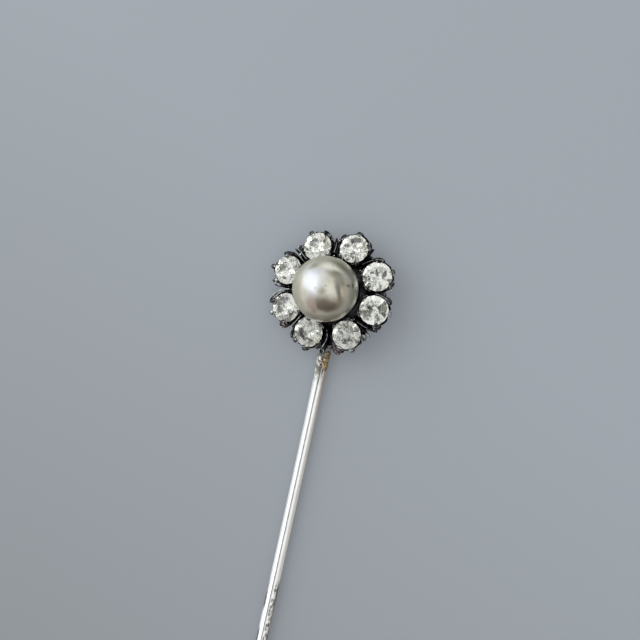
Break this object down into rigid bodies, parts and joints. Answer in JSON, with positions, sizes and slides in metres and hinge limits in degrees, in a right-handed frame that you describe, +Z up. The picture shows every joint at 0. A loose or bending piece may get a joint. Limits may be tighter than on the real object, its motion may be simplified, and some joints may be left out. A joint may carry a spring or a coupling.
{
  "type": "stick pin",
  "caption": "Stick pin lying on a table: a round pearl in a ring of claw-set clear stones, with an oxidised silver setting soldered to a long, straight, pointed stem.",
  "frame": {"origin": "on the table that the pin lies on, under the middle of its box", "axes": "-Y along the stem towards its point, +Z up from the table, +X towards the side that the head leans away from"},
  "size_m": [0.0139, 0.0688, 0.0086],
  "materials": {
    "oxidised_silver": "silver blackened by age, with paler worn edges",
    "bright_silver": "rubbed bright, with fine scratches",
    "solder": "yellowish solder, tarnished",
    "nacre": "silvery grey-cream pearl lustre",
    "clear_stone": "clear, cut and polished, with a bright back"
  },
  "bodies": {
    "root": {"setting_and_stem": "oxidised_silver", "pearl": "nacre", "stone_1": "clear_stone", "stone_2": "clear_stone", "stone_3": "clear_stone", "stone_4": "clear_stone", "stone_5": "clear_stone", "stone_6": "clear_stone", "stone_7": "clear_stone", "stone_8": "clear_stone"}
  },
  "joints": []
}
